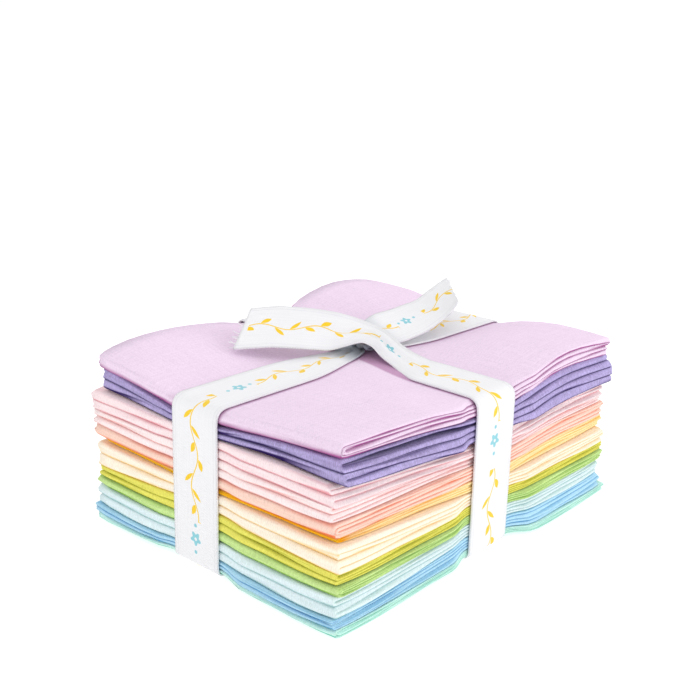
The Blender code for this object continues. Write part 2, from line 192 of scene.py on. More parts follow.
def put_in_scene(name, data):
    """Make an object of a mesh, a lamp or a camera, and link it to the scene."""
    made = bpy.data.objects.new(name, data)
    bpy.context.scene.collection.objects.link(made)
    return made


def apply_tree(start_mesh, name, tree, values, thickness=None):
    """Run a tree on a mesh, and return the result as a plain mesh."""
    holder = put_in_scene(name, start_mesh)
    step = holder.modifiers.new("Shape", "NODES")
    step.node_group = tree
    for item in tree.interface.items_tree:
        if item.in_out == "INPUT" and item.name in values:
            step[item.identifier] = values[item.name]
    if thickness:
        wall = holder.modifiers.new("Cloth thickness", "SOLIDIFY")
        wall.thickness = thickness
        wall.offset = 0.0
    bpy.context.view_layer.update()
    evaluated = holder.evaluated_get(bpy.context.evaluated_depsgraph_get())
    made = bpy.data.meshes.new_from_object(evaluated, preserve_all_data_layers=True,
                                           depsgraph=bpy.context.evaluated_depsgraph_get())
    bpy.data.objects.remove(holder)
    made.name = name
    return made


# %% [markdown]
# A fat quarter is folded twice by the same rule: lay a length back and forth in four passes. The
# width is folded first, which gives a long strip of four plies, and the strip is then folded into
# four layers. Fold lines are rounded, because cloth can't bend sharper than its own thickness.
# So one small group of nodes draws the folding of a length, and the cloth uses it twice: once as
# the profile of the strip, once as the path that the strip follows. A book fold wraps one pass
# around the others, a zigzag fold goes up like a paper fan. The bends stay just short of their full
# radius, because two bends that touch would put two points on one spot.

# %% A node group that folds a length back and forth
NEARLY_FULL = 0.999


def make_folding_tree():
    tree, bench = new_geometry_tree(
        "Fold a length",
        (("Passes", "Int"), ("Length", "Float"), ("Pitch", "Float"), ("Book", "Float"),
         ("Free ends set back", "Float"), ("Cuts", "Int"), ("Bend points", "Int")), "Curve")
    passes = bench.add("NodeGroupInput", output="Passes")
    length = bench.other(passes, "Length")
    pitch = bench.other(passes, "Pitch")
    book = bench.other(passes, "Book")

    def level(number):
        """Height, in passes, of the numbered pass: 0 1 2 3 in a zigzag, 0 3 2 1 in a book."""
        wrapped = (passes - number).math("MODULO", passes)
        return number * (1.0 - book) + wrapped * book

    index = bench.add("GeometryNodeInputIndex")
    this_pass = (index / 2.0).math("FLOOR")
    turn = ((index + 1.0) / 2.0).math("FLOOR")
    half_turn = (level(turn) - level(turn - 1.0)).math("ABSOLUTE") * 0.5
    at_left = turn.math("MODULO", 2.0)
    last = passes * 2.0 - 1.0
    is_end = index.math("COMPARE", 0.0, 0.5) + index.math("COMPARE", last, 0.5)
    widest = 0.5 + book * at_left * (passes * 0.5 - 1.0)
    nested = (widest - half_turn) * pitch * (1.0 - is_end)
    reach = length * 0.5 - nested - bench.other(passes, "Free ends set back") * is_end
    side = 1.0 - 2.0 * at_left
    height = (level(this_pass) - (passes - 1.0) * 0.5) * pitch
    corner = bench.add("ShaderNodeCombineXYZ", None, {0: reach * side, 2: height})
    line = bench.add("GeometryNodeMeshLine", None, {"Count": passes * 2.0})
    placed = bench.add("GeometryNodeSetPosition", None, {"Geometry": line, "Position": corner})
    drawn = bench.add("GeometryNodeMeshToCurve", None, {"Mesh": placed})
    bent = bench.add("GeometryNodeFilletCurve", {"mode": "POLY"},
                     {"Curve": drawn, "Count": bench.other(passes, "Bend points"),
                      "Radius": half_turn * pitch * NEARLY_FULL})
    position = bench.add("GeometryNodeInputPosition")
    following = bench.add("GeometryNodeFieldAtIndex", {"data_type": "FLOAT_VECTOR"},
                          {"Index": index + 1.0, "Value": position})
    run = bench.add("ShaderNodeVectorMath", {"operation": "DISTANCE"},
                    {0: position, 1: following}, output="Value")
    is_long = run.math("GREATER_THAN", length * 0.5)
    cut = bench.add("GeometryNodeSubdivideCurve", None,
                    {"Curve": bent, "Cuts": bench.other(passes, "Cuts") * is_long})
    bench.add("NodeGroupOutput", None, {0: cut})
    return tree


FOLD_A_LENGTH = make_folding_tree()
print("Folding group:", len(FOLD_A_LENGTH.nodes), "nodes")

# %% [markdown]
# The whole cloth takes the group twice and sweeps one result along the other with Curve to Mesh.
# The free edges stop a little short of the folds, as a folder tucks them in. Each point keeps its
# distance along both threads, so that the weave can later be laid on the cloth as if it were flat.

# %% The tree that folds a whole cloth
SELVAGE_SET_BACK = 0.8 * MM
CUT_SET_BACK = 2.0 * MM


def make_cloth_tree():
    tree, bench = new_geometry_tree(
        "Folded cloth",
        (("Geometry", "Geometry"), ("Strip length", "Float"), ("Strip width", "Float"),
         ("Layer pitch", "Float"), ("Ply pitch", "Float"), ("Book", "Float"), ("Lengthwise cuts", "Int"),
         ("Crosswise cuts", "Int"), ("Bend points", "Int"), ("Finish", "Material")))
    given = bench.add("NodeGroupInput", output="Strip length")

    def folded(length, pitch, book, cuts, set_back):
        group = bench.add("GeometryNodeGroup", {"node_tree": FOLD_A_LENGTH},
                          {"Passes": 4, "Length": length, "Pitch": pitch, "Book": book,
                           "Cuts": cuts, "Free ends set back": set_back,
                           "Bend points": bench.other(given, "Bend points")})
        place = bench.add("GeometryNodeSplineParameter", output="Length")
        return group, place

    plies, across = folded(bench.other(given, "Strip width"), bench.other(given, "Ply pitch"),
                           1.0, bench.other(given, "Crosswise cuts"), SELVAGE_SET_BACK)
    layers, along = folded(given, bench.other(given, "Layer pitch"),
                           bench.other(given, "Book"), bench.other(given, "Lengthwise cuts"),
                           CUT_SET_BACK)
    plies = bench.add("GeometryNodeStoreNamedAttribute", {"data_type": "FLOAT"},
                      {"Geometry": plies, "Name": "across", "Value": across})
    layers = bench.add("GeometryNodeStoreNamedAttribute", {"data_type": "FLOAT"},
                       {"Geometry": layers, "Name": "along", "Value": along})
    spot = bench.add("GeometryNodeInputPosition")
    parts = bench.add("ShaderNodeSeparateXYZ", None, {0: spot}, output="X")
    upright = bench.add("ShaderNodeCombineXYZ", None,
                        {0: parts, 1: bench.other(parts, "Z") * -1.0})
    plies = bench.add("GeometryNodeSetPosition", None, {"Geometry": plies, "Position": upright})
    sheet = bench.add("GeometryNodeCurveToMesh", None, {"Curve": layers, "Profile Curve": plies})
    close_tree(bench, sheet, bench.other(given, "Finish"))
    return tree


FOLDED_CLOTH = make_cloth_tree()
print("Cloth tree:", len(FOLDED_CLOTH.nodes), "nodes")

# %% [markdown]
# A folded cloth on its own is a neat flat packet. In the pile it is crowned where the tape lets it
# rise, squeezed where the tape holds it, and it stands a little in or out of line. Moving points in
# a mesh by a formula suits this better than modelling, because every cloth must follow the one
# below it. Each packet is bent between two of the thirteen surfaces that part the cloths.


# %% The surfaces between the cloths
PAST_EDGE = 1.1
BACK_ROUND = 6
SIDE_ROUND = 4
CORNER_ROUND = 8


def ease(value):
    """0 to 1 with a soft start and stop."""
    value = np.clip(value, 0.0, 1.0)
    return value * value * (3.0 - 2.0 * value)


def slope(distance, full, most=1.0):
    """0 over the strip that the tape holds level, then rising evenly to 1."""
    return np.clip((distance - VALLEY) / (full - VALLEY), 0.0, most)


def bulge(distance, full):
    """0 over the level strip, swelling fast beside it and easing into 1."""
    return 1.0 - (1.0 - slope(distance, full)) ** 2


def thickness(cloth, x, y):
    """How thick one cloth is over a place: its row gives four values, and they blend in between."""
    to_folds = slope(TAPE_X - x, TAPE_X + WIDTH / 2, PAST_EDGE)
    to_end_face = DEPTH / 2 + np.where(y < TAPE_Y, TAPE_Y, -TAPE_Y)
    to_ends = slope(np.abs(y - TAPE_Y), to_end_face, PAST_EDGE)
    along_middle = cloth.inside + (cloth.folds - cloth.inside) * to_folds
    along_front = cloth.ends + (cloth.corner - cloth.ends) * to_folds
    return (along_middle + (along_front - along_middle) * to_ends) * MM


def parting_surfaces(x, y):
    """Heights of the surfaces that part the cloths, from the floor to the top of the stack."""
    heights = [np.zeros_like(x)]
    for cloth in reversed(CLOTHS):
        heights.append(heights[-1] + thickness(cloth, x, y))
    side = np.abs(x) / (WIDTH / 2)
    end = np.abs(y) / (DEPTH / 2)
    at_left = x < TAPE_X
    at_front = y < TAPE_Y
    full = np.where(at_left, np.where(at_front, CROWN_LEFT_FRONT, CROWN_LEFT_BACK),
                    np.where(at_front, CROWN_RIGHT_FRONT, CROWN_RIGHT_BACK))
    free_y = bulge(np.abs(y - TAPE_Y), CROWN_FULL_Y)
    crown = (full + DIP) * bulge(np.abs(x - TAPE_X), CROWN_FULL_X) * free_y - DIP
    backwards = ease(slope(y - TAPE_Y, DEPTH / 2 - TAPE_Y))
    crown += BACK_RISE * backwards * np.maximum(0.0, 1.0 - side ** BACK_ROUND)
    crown -= np.where(at_left, 0.0, SIDE_FALL_RIGHT) * side ** SIDE_ROUND * free_y
    crown -= CORNER_FALL * np.minimum(1.0, side * end) ** CORNER_ROUND
    under_x = 1.0 - slope(np.abs(x - TAPE_X), FLOOR_X)
    under_y = 1.0 - slope(np.abs(y - TAPE_Y), FLOOR_Y)
    lift = RISE * (under_x + under_y)
    total = heights[-1]
    shaped = []
    for height in heights:
        share = height / total
        shaped.append(height + crown * share ** CROWN_DEPTH + lift * (1.0 - share) ** RISE_DEPTH)
    return shaped


def top_height(x, y):
    """Height of the top of the stack at one place."""
    return float(parting_surfaces(np.array([x]), np.array([y]))[-1][0])


print("Top under the knot:", round(top_height(TAPE_X, TAPE_Y) / MM, 1), "mm")

# %% [markdown]
# No two folded edges in a real pile line up. A slow seeded waver moves each layer's edge by about
# half a millimetre, and under the tape every edge is drawn back to the same line. The lower cloths
# also lie a little askew: at the front they come out further on the right of the tape.

# %% How far each edge stands out
EDGE_WAVER = 0.45 * MM
CORNER_PULL = 0.9 * MM
HELD_FULL = 10.9 * MM
HELD_FADE = 11.0 * MM
RIGID_EDGE = 3.0 * MM
WAVE_ALONG_SIDE = 85.0 * MM
WAVE_ALONG_END = 110.0 * MM
SKEW_FROM = 6.0
SKEW_FULL = 26.0
SKEW_TO = 70.0
SKEW_LOST = 0.4


def waver(place, phase, length):
    """A slow wave between -1 and 1 that never looks regular."""
    turn = 2.0 * math.pi / length
    return 0.6 * np.sin(turn * place + phase) + 0.4 * np.sin(2.3 * turn * place + 1.7 * phase)


def held(place, tape):
    """1 under the tape, easing to 0 clear of it."""
    return 1.0 - ease((np.abs(place - tape) - HELD_FULL) / HELD_FADE)


def settle(cloth, free, place, tape, height):
    """An edge's stand-out, drawn in where the tape holds it. The tape rounds the top cloth's lip."""
    lip = LIP_ROUND * height ** 3 if cloth is CLOTHS[0] else 0.0
    drawn_in = np.minimum(free, -FACE_PRESS) - lip
    return free + (drawn_in - free) * held(place, tape)


def side_reach(cloth, phase, y, height, at_left):
    """How far the left or right edge of a layer stands out beyond the plain oblong."""
    free = (cloth.left if at_left else cloth.right) * MM
    free = free + EDGE_WAVER * waver(y, phase + 8.4 * height, WAVE_ALONG_SIDE)
    free = free - CORNER_PULL * np.abs(y / (DEPTH / 2)) ** 10
    return settle(cloth, free, y, TAPE_Y, height)


def end_reach(cloth, phase, x, height, at_front):
    """How far the front or back edge of a layer stands out beyond the plain oblong."""
    if at_front:
        free = cloth.front + cloth.fan * (1.0 - height)
        past_tape = ease((x / MM - SKEW_FROM) / (SKEW_FULL - SKEW_FROM))
        past_tape = past_tape * (1.0 - SKEW_LOST * ease((x / MM - SKEW_FULL) / (SKEW_TO - SKEW_FULL)))
        free = (free + cloth.skew * past_tape) * MM
    else:
        free = cloth.back * MM
    free = free + EDGE_WAVER * waver(x, phase + 9.1 * height, WAVE_ALONG_END)
    free = free - CORNER_PULL * np.abs(x / (WIDTH / 2)) ** 12
    return settle(cloth, free, x, TAPE_X, height)


print("Edges under the tape are drawn in by:", round(FACE_PRESS / MM, 1), "mm")

# %% [markdown]
# In a pile the folds of a pressed cloth are squarer than half circles, and one loop at the front has
# sprung open. Each of these is one small formula on the points of a flat packet. The rows of points
# are also moved closer together beside the tape, where the cloth turns down over a few millimetres.
# Evenly spaced rows would draw that turn as a jagged line.

# %% Shaping one flat packet
FOLD_PRESS = 0.7
MOUTH_STEEP = 1.6
# The layers part at a level, the one above gets thinner and those below are pressed together.
# The opening starts and ends at places along X in millimetres, and is full from one to another.
Mouth = namedtuple("Mouth", "level thinned pressed start full fade end")
MOUTHS = {"violet": Mouth(0.75, 0.50, 0.07, -73.0, -54.0, -30.0, 8.0)}
MOUTH_DEPTH = 26.0 * MM


def open_mouth(mouth, x, y, height, in_upper):
    """Part two layers at the front, as in a loop that has sprung open."""
    across = ease((x / MM - mouth.start) / (mouth.full - mouth.start))
    across = across * (1.0 - ease((x / MM - mouth.fade) / (mouth.end - mouth.fade)))
    amount = across * ease((-y - DEPTH / 2 + MOUTH_DEPTH) / MOUTH_DEPTH * MOUTH_STEEP)
    above = 1.0 - (1.0 - height) * (1.0 - mouth.thinned * amount)
    below = height * (1.0 - mouth.pressed * amount)
    return np.where(in_upper, above, below)


def press_folds(x, radius):
    """Square up the round folds a little, as an iron does."""
    start = np.abs(x).max() - radius
    past = np.clip((np.abs(x) - start) / radius, 0.0, 1.0)
    return x + np.sign(x) * radius * FOLD_PRESS * past * (1.0 - past)


def crowd_rows(place, length, even, wanted):
    """Move evenly spaced rows of points closer together beside the tape, in every pass alike.
    Thread lengths are corrected by the same amount, backwards in every second pass."""
    even = np.array(even) * MM
    wanted = np.array(wanted) * MM
    moved = np.where(np.abs(place) < even[-1], np.interp(place, even, wanted), place)
    passes = np.floor(4.0 * length / length.max())
    first = passes == 0
    way = np.sign(np.corrcoef(length[first], place[first])[0, 1])
    way = np.where(passes % 2 == 0, way, -way)
    return moved, length + way * (moved - place)


# %% Bending a packet into its place in the pile
LAYER_SWING = 0.035
SWING_LENGTH = 90.0 * MM
SWING_SLANT = 0.8
STEER_X = 48.0 * MM
STEER_Y = 32.0 * MM


def settle_in_pile(points, cloth, number):
    """Move the points of a flat packet into the space of one cloth of the pile.
    Also returns how far inside the edge of its own layer each point lies."""
    x, y, z = points.T
    height = (z - z.min()) / (z.max() - z.min())
    in_upper = height > (MOUTHS[cloth.name].level if cloth.name in MOUTHS else 1.0)
    x = press_folds(x, (z.max() - z.min()) / (2.0 if cloth.folded == "book" else 4.0))
    phase = 1.9 * number + 0.7
    steer_x = ease((np.abs(x) - STEER_X) / (WIDTH / 2 - RIGID_EDGE - STEER_X))
    steer_y = ease((np.abs(y) - STEER_Y) / (DEPTH / 2 - RIGID_EDGE - STEER_Y))
    left = side_reach(cloth, phase, y, height, True)
    right = side_reach(cloth, phase, y, height, False)
    front = end_reach(cloth, phase, x, height, True)
    back = end_reach(cloth, phase, x, height, False)
    moved_x = x + np.where(x < 0.0, -left, right) * steer_x
    moved_y = y + np.where(y < 0.0, -front, back) * steer_y
    swing = LAYER_SWING * np.sin(2.0 * math.pi * height)
    height = height + swing * waver(moved_x + SWING_SLANT * moved_y, phase * 2.0, SWING_LENGTH)
    if cloth.name in MOUTHS:
        height = open_mouth(MOUTHS[cloth.name], moved_x, moved_y, height, in_upper)
    surfaces = parting_surfaces(moved_x, moved_y)
    air = CLOTH_GAP / 2 + cloth.loose * MM if number > 0 else 0.0
    low = surfaces[number] + air
    high = surfaces[number + 1] - (CLOTH_GAP / 2 if number < len(CLOTHS) - 1 else 0.0)
    moved_z = low + (high - low) * height
    inside_x = WIDTH / 2 + np.where(x < 0.0, left, right) - np.abs(moved_x)
    inside_y = DEPTH / 2 + np.where(y < 0.0, front, back) - np.abs(moved_y)
    placed = np.stack((moved_x, moved_y, moved_z), axis=1) + np.array(FOOTPRINT_SHIFT)
    return placed, np.minimum(inside_x, inside_y)


# %% [markdown]
# Quilting cotton is a plain weave with about 27 threads to the centimetre, so one thread is
# 0.37 mm wide. Up close it is a chequer of threads that pass over and under, with some threads a
# little thicker. From further off those give a fine grain and faint streaks along both directions.
# Inside a crease light bounces between two faces of the same cloth and comes out much stronger in
# colour. That is painted: the crease value that each point of the mesh carries mixes a deeper, darker
# tint into the colour there, as painted crease shade.

# %% The cotton finish
YARN = 0.37 * MM
YARN_CONTRAST = {"violet": 0.26, "lilac": 0.08, "green": 0.16, "lime": 0.14}
PLAIN_CONTRAST = 0.10
BODY_TONE = 0.98
STREAK_LONG = 70.0
STREAK_FINE = 2200.0
TAPE_SHADOW = 0.6
TAPE_SHADOW_WIDTH = 1.2 * MM
GATHERED = 0.45
GATHER_REACH = 34.0 * MM
TURN = 2.0 * math.pi


def shade(colour, amount):
    """A colour made lighter or darker, with the alpha that a socket needs."""
    return (*[min(1.0, channel * amount) for channel in colour], 1.0)


def split(bench, vector):
    """The first two numbers of a vector."""
    x = bench.add("ShaderNodeSeparateXYZ", None, {0: vector}, output="X")
    return x, bench.other(x, "Y")


def blend(bench, factor, first, second):
    """The colour Mix node: socket 6 at factor 0, socket 7 at factor 1."""
    return bench.add("ShaderNodeMix", {"data_type": "RGBA"}, {0: factor, 6: first, 7: second}, output=2)


def streaks(bench, along, across, seed):
    """Thicker threads: noise that is drawn out along one direction."""
    stretched = bench.add("ShaderNodeCombineXYZ", None, {0: along, 1: across, 2: seed})
    return bench.add("ShaderNodeTexNoise", {"noise_dimensions": "3D"},
                     {"Vector": stretched, "Scale": 1.0, "Detail": 1.0}, output=0)


def new_finish(name):
    """An empty material and the bench for its nodes."""
    material = bpy.data.materials.new(name)
    material.use_nodes = True
    return material, Bench(material.node_tree)


def close_finish(bench, sockets):
    """The main surface shader, wired to the output."""
    surface = bench.add("ShaderNodeBsdfPrincipled", None, sockets)
    bench.add("ShaderNodeOutputMaterial", None, {"Surface": surface})


def noise_on_piece(bench, scale, detail):
    """Noise that stays put on the piece, because it reads the piece's own coordinates."""
    return bench.add("ShaderNodeTexNoise", None,
                     {"Vector": bench.add("ShaderNodeTexCoord", output="Object"),
                      "Scale": scale, "Detail": detail}, output=0)


def tape_edge_shadow(bench):
    """Painted shadow: 1 where the edges of the tape touch the top of the stack, fading beside them."""
    x, y = split(bench, bench.add("ShaderNodeTexCoord", output="Object"))
    x = (x - (TAPE_X + FOOTPRINT_SHIFT.x)).math("ABSOLUTE")
    y = (y - (TAPE_Y + FOOTPRINT_SHIFT.y)).math("ABSOLUTE")

    def half_width(from_knot):
        out = (from_knot / GATHER_REACH).clamped()
        return (GATHERED + (1.0 - GATHERED) * out * out * (3.0 - 2.0 * out)) * (TAPE_WIDTH / 2)

    beside = (y - half_width(x)).math("MINIMUM", x - half_width(y))
    return (1.0 - beside / TAPE_SHADOW_WIDTH).clamped() * TAPE_SHADOW


def cotton(cloth):
    """Plain weave in one cloth's colours, with painted shade in its creases and beside the tape."""
    material, bench = new_finish(f"cotton_{cloth.name}")
    flat = bench.add("ShaderNodeUVMap", {"uv_map": "Flat cloth"})
    along, across = split(bench, flat)
    crease = bench.add("ShaderNodeAttribute", {"attribute_name": "crease"}, output="Fac")
    # Painted shadow: the top cloth also darkens along the edges of the tape.
    if cloth is CLOTHS[0]:
        crease = crease.math("MAXIMUM", tape_edge_shadow(bench))
    chequer = (along * (math.pi / YARN)).math("SINE") * (across * (math.pi / YARN)).math("SINE")
    warp = streaks(bench, along * STREAK_LONG, across * STREAK_FINE, 1.0)
    weft = streaks(bench, along * STREAK_FINE, across * STREAK_LONG, 5.0)
    cloud = noise_on_piece(bench, 45.0, 3.0)
    slub = noise_on_piece(bench, 1500.0, 1.0)
    grain = 0.5 + 0.2 * chequer + 0.8 * (warp - 0.5) + 0.8 * (weft - 0.5) + 0.4 * (cloud - 0.5)
    grain = grain + 1.3 * (slub - 0.5)
    contrast = YARN_CONTRAST.get(cloth.name, PLAIN_CONTRAST)
    body = blend(bench, grain.clamped(), shade(cloth.colour, BODY_TONE - contrast),
                 shade(cloth.colour, BODY_TONE + contrast))
    # Painted shade: the crease value mixes in the deeper, darker crease colour.
    colour = blend(bench, crease, body, shade(cloth.crease, 1.0))
    soft = bench.add("ShaderNodeBump", None, {"Strength": 0.35, "Distance": 1.2 * MM,
                                              "Height": noise_on_piece(bench, 110.0, 2.0)})
    relief = 0.5 * chequer + warp + weft
    woven = bench.add("ShaderNodeBump", None,
                      {"Strength": 0.5, "Distance": 0.12 * MM, "Height": relief, "Normal": soft})
    close_finish(bench, {"Base Color": colour, "Roughness": 0.88, "Sheen Weight": 0.06,
                         "Sheen Roughness": 0.5, "Sheen Tint": shade(cloth.colour, 0.9),
                         "Specular IOR Level": 0.0, "Normal": woven})
    return material


COTTONS = {cloth.name: cotton(cloth) for cloth in CLOTHS}
print("Cotton finishes:", len(COTTONS))


# %% [markdown]
# A mesh carries more than its points. The thread lengths become a UV map in metres, and a value on
# each point says how deep it lies in a crease, which is how much painted crease shade it gets. That
# value is worked out from two things that an eye goes by: which way the cloth faces, and how far
# inside the edge of its layer it lies. Cloth that lies open on top of the stack isn't in any crease
# and gets no painted crease shade.

# %% Reading and storing values on a mesh
def read_values(mesh, name):
    """The value of one attribute at every point."""
    values = np.empty(len(mesh.vertices), dtype=np.float32)
    mesh.attributes[name].data.foreach_get("value", values)
    return values


def lay_flat_map(mesh, name, along, across):
    """A UV map in metres of real cloth, so that threads have one size everywhere."""
    corners = np.empty(len(mesh.loops), dtype=np.int32)
    mesh.loops.foreach_get("vertex_index", corners)
    layer = mesh.uv_layers.new(name=name)
    pairs = np.stack((along[corners], across[corners]), axis=1).astype(np.float32)
    layer.data.foreach_set("uv", pairs.ravel())


def store_mask(mesh, name, values):
    mask = mesh.attributes.new(name, "FLOAT", "POINT")
    mask.data.foreach_set("value", values.astype(np.float32))


# %% How much painted crease shade each point gets
# Limits of the painted crease shade: the facing, the inset where it starts, and the shoulder tint.
Crease = namedtuple("Crease", "facing inset shoulder")
DEEP_CREASE_SHADE = Crease(0.05, 0.3 * MM, 0.7)
PALE_CREASE_SHADE = Crease(0.3, 1.0 * MM, 0.4)
SHOULDER_FROM = 0.7
SHOULDER_TO = 0.94
PUSHED_BACK = 1.2 * MM
SHADED_EDGE = 4.0 * MM
COVERED_FROM = 4.0 * MM


def painted_crease_shade(order, cloth, upward, height, inset, x):
    """Painted shade for creases: 0 on open cloth, 1 deep in a fold, from how a point faces and its place.
    """
    limits = DEEP_CREASE_SHADE if order < 2 else PALE_CREASE_SHADE
    underside = ease((-upward - limits.facing) / 0.35)
    shoulder = ease((upward - SHOULDER_FROM) / 0.2) * (1.0 - ease((upward - SHOULDER_TO) / 0.05))
    deep_in = ease((inset - limits.inset) / (1.5 * MM))
    crease = np.maximum(np.maximum(underside, limits.shoulder * shoulder), deep_in)
    # A cloth pushed far back is painted as full shade along its left edge, as in a dark recess.
    if -cloth.left * MM > PUSHED_BACK:
        crease = np.where(x < SHADED_EDGE - WIDTH / 2, 1.0, crease)
    # Tops of lower cloths get painted shade where the layer above covers them; open top cloth gets none.
    on_top = (height > 0.9) & (upward > (0.0 if order == 0 else SHOULDER_TO))
    covered = ease((inset - COVERED_FROM) / (2.0 * MM)) if order > 0 else 0.0
    return np.where(on_top, covered, crease)


# %% [markdown]
# Each cloth now goes through the same steps: its flat packet is folded by the tree and gets the
# thickness of its cotton, the packet is bent into its place in the pile, and the map and the painted
# crease shade value are stored on it. Sixteen plies are far more than would ever be modelled by hand.

# %% Making the twelve cloths
PLY = 0.21 * MM
PLY_AIR = 0.02 * MM
STRIP_SHORTER = 1.05 * MM
ROWS_ALONG = ((-68.0, -42.0, -12.0, 1.0, 14.0, 44.0, 68.0), (-68.0, -20.0, -8.0, 1.0, 10.0, 22.0, 68.0))
ROWS_ACROSS = ((-50.0, -26.0, -7.0, 4.0, 15.0, 34.0, 50.0), (-50.0, -15.0, -5.0, 4.0, 13.0, 23.0, 50.0))


def fold_cloth(order, cloth):
    """Fold one cloth, put it in its place and store what its finish reads."""
    number = len(CLOTHS) - 1 - order
    layer_pitch = (cloth.inside * MM - CLOTH_GAP) / 4
    values = {"Strip length": WIDTH - STRIP_SHORTER, "Strip width": DEPTH - PLY,
              "Layer pitch": layer_pitch, "Ply pitch": (layer_pitch - PLY - PLY_AIR) / 3,
              "Book": 1.0 if cloth.folded == "book" else 0.0,
              "Lengthwise cuts": 38, "Crosswise cuts": 19, "Bend points": 3,
              "Finish": COTTONS[cloth.name]}
    name = f"folded_{cloth.name}"
    mesh = apply_tree(bpy.data.meshes.new(name), name, FOLDED_CLOTH, values, PLY)
    points = np.empty(len(mesh.vertices) * 3, dtype=np.float32)
    mesh.vertices.foreach_get("co", points)
    points = points.reshape(-1, 3).astype(float)
    height = (points[:, 2] - points[:, 2].min()) / np.ptp(points[:, 2])
    points[:, 0], along = crowd_rows(points[:, 0], read_values(mesh, "along"), *ROWS_ALONG)
    points[:, 1], across = crowd_rows(points[:, 1], read_values(mesh, "across"), *ROWS_ACROSS)
    placed, inset = settle_in_pile(points, cloth, number)
    mesh.vertices.foreach_set("co", placed.astype(np.float32).ravel())
    mesh.update()
    upward = np.array([normal.vector.z for normal in mesh.vertex_normals])
    # Store the painted crease shade on the points, for the finish to mix into the colour.
    store_mask(mesh, "crease", painted_crease_shade(order, cloth, upward, height, inset, placed[:, 0]))
    lay_flat_map(mesh, "Flat cloth", along, across)
    mesh.shade_smooth()
    return put_in_scene(name, mesh)


cloth_pieces = [fold_cloth(order, cloth) for order, cloth in enumerate(CLOTHS)]
print("Folded cloths:", len(cloth_pieces), "with", sum(len(p.data.polygons) for p in cloth_pieces), "faces")

# %% [markdown]
# The frame has to know what each piece is: the body that it rides on, and the plain solid that it
# takes the place of, which is hidden.

# %% Tell the frame what each cloth is
for order, (cloth, piece) in enumerate(zip(CLOTHS, cloth_pieces)):
    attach(piece, "root")
    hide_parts(f"fat_quarter_{order + 1:02d}_{cloth.name}")

# %% [markdown]
# The tape is one length of cotton twill. It starts at the left tail, goes over the knot, runs
# around the stack over the layered ends, turns under the knot, runs around over the fold loops and
# comes back through the knot as the right tail. Where it passes through the knot it is gathered to
# less than half its width, so it falls into lengthwise pleats. A table of stations holds the free
# parts. The runs are worked out from the stack, so they always lie on the cloth.

# %% The route of the tape
TAPE = 0.6 * MM
TAPE_AIR = 0.3 * MM
LIP_BEND = 3.0 * MM
FOOT_BEND = 1.0 * MM
ROUTE_POINTS = 18
Station = namedtuple("Station", "x y z ax ay az width pleat shade", defaults=(0.0,))
LEFT_TAIL = (
    (-29.4, 30.5, 64.4, 0.78, 0.41, 0.47, 20.5, 0.0),
    (-21.0, 23.0, 65.2, 0.69, 0.55, 0.46, 20.5, 0.05),
    (-13.0, 15.0, 64.6, 0.68, 0.52, 0.52, 19.0, 0.2),
    (-6.0, 9.0, 63.4, 0.66, 0.42, 0.60, 16.5, 0.4),
    (-0.5, 5.0, 63.2, 0.76, 0.45, 0.40, 14.5, 0.6),
    (3.2, 0.5, 62.6, 0.93, 0.30, 0.18, 13.0, 0.7),
    (4.2, -4.5, 61.0, 0.98, 0.10, 0.16, 11.5, 0.7),
    (3.4, -9.5, 58.4, 0.99, 0.02, 0.14, 11.5, 0.5),
    (3.8, -14.0, 56.6, 1.00, 0.00, 0.10, 12.5, 0.35),
    (2.6, -21.0, 55.4, 1.00, 0.00, 0.06, 15.5, 0.15),
)
RIGHT_TAIL = (
    (9.0, 3.4, 57.2, 0.0, -1.0, 0.0, 12.0, 0.3, 0.9),
    (4.5, 3.6, 57.0, 0.0, -1.0, 0.0, 9.0, 0.4, 0.9),
    (1.4, 3.6, 57.2, 0.0, -1.0, 0.0, 8.5, 0.4, 0.9),
    (0.2, 3.5, 58.3, 0.0, -1.0, 0.0, 8.5, 0.4, 0.9),
    (1.6, 3.4, 59.4, 0.0, -0.96, -0.28, 9.5, 0.4, 0.9),
    (5.0, 3.2, 60.2, 0.0, -0.90, -0.43, 11.5, 0.5, 0.8),
    (9.0, 3.0, 60.8, -0.05, -0.88, -0.47, 13.5, 0.4, 0.45),
    (17.0, 3.5, 61.2, -0.05, -0.92, -0.38, 17.0, 0.2),
    (29.0, 4.0, 61.6, -0.10, -0.97, -0.20, 19.5, 0.0),
    (42.0, 4.0, 63.6, -0.35, -0.93, -0.05, 21.5, 0.0),
    (55.5, 4.0, 69.0, -0.68, -0.72, -0.10, 27.0, 0.0),
)


def bend(centre_along, centre_up, radius, start, finish):
    """Places around a bend, in the plane of a run."""
    angles = np.radians(np.linspace(start, finish, 9))
    return [(centre_along + radius * math.cos(a), centre_up + radius * math.sin(a)) for a in angles]


